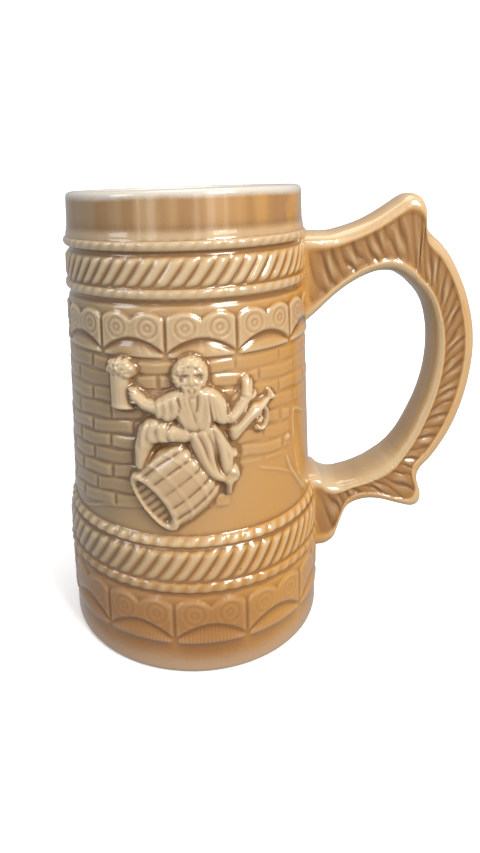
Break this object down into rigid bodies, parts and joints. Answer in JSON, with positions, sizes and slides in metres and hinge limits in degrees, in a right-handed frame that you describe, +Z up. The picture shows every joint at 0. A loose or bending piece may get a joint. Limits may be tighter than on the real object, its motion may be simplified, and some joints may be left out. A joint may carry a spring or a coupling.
{
  "type": "relief beer stein",
  "caption": "Tall glazed beer stein with moulded bands, brick wall and figure relief, and a large scrolled handle.",
  "frame": {"origin": "centre of the flat underside, on the axis of the body", "axes": "+Z up along the body's axis, +X towards the handle, -Y towards the carved figure"},
  "size_m": [0.152, 0.0944, 0.1524],
  "materials": {
    "tan_glaze": "gloss"
  },
  "bodies": {
    "root": {"mug": "tan_glaze"}
  },
  "joints": []
}
